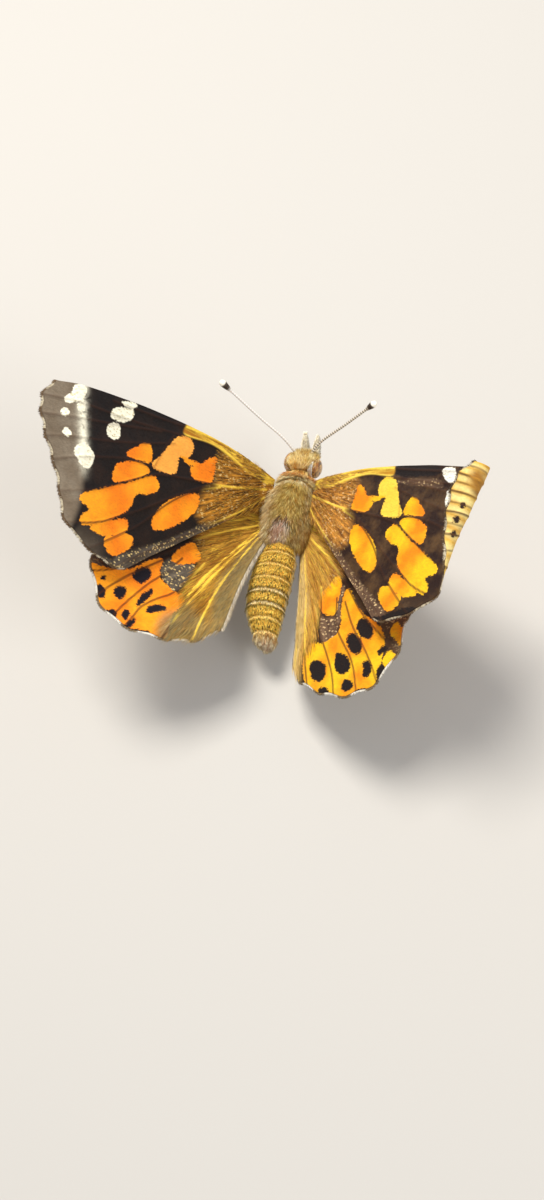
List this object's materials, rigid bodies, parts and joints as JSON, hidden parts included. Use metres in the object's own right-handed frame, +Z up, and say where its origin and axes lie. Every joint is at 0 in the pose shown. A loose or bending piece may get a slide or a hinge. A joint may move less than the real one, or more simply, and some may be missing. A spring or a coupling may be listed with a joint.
{
  "type": "painted lady butterfly",
  "caption": "Life-size still butterfly at rest on its legs, wings held in an open V, one forewing tip bent down and the other folded over, veined wings and long clubbed feelers",
  "frame": {"origin": "on the floor, under the centre of the bounding box", "axes": "+X to the butterfly's right, +Y towards the head, +Z up from the floor"},
  "size_m": [0.042, 0.0298, 0.0261],
  "materials": {
    "body_hair": "olive-brown skin under fine golden hair",
    "eye": "brown faceted eye with darker patches",
    "feeler": "fine dark and white rings",
    "palp": "pale cream scales with brown tips",
    "leg": "buff scales over brown",
    "forewing": "matte wing scales, orange with black and white pattern",
    "hindwing": "matte wing scales, orange with rows of black spots"
  },
  "bodies": {
    "root": {"head": "body_hair", "thorax": "body_hair", "abdomen": "body_hair", "eye_left": "eye", "eye_right": "eye", "antenna_left": "feeler", "antenna_right": "feeler", "palp_left": "palp", "palp_right": "palp", "proboscis": "feeler", "foreleg_left": "leg", "foreleg_right": "leg", "midleg_left": "leg", "midleg_right": "leg", "hindleg_left": "leg", "hindleg_right": "leg", "forewing_left": "forewing", "forewing_right": "forewing", "hindwing_left": "hindwing", "hindwing_right": "hindwing"}
  },
  "joints": []
}
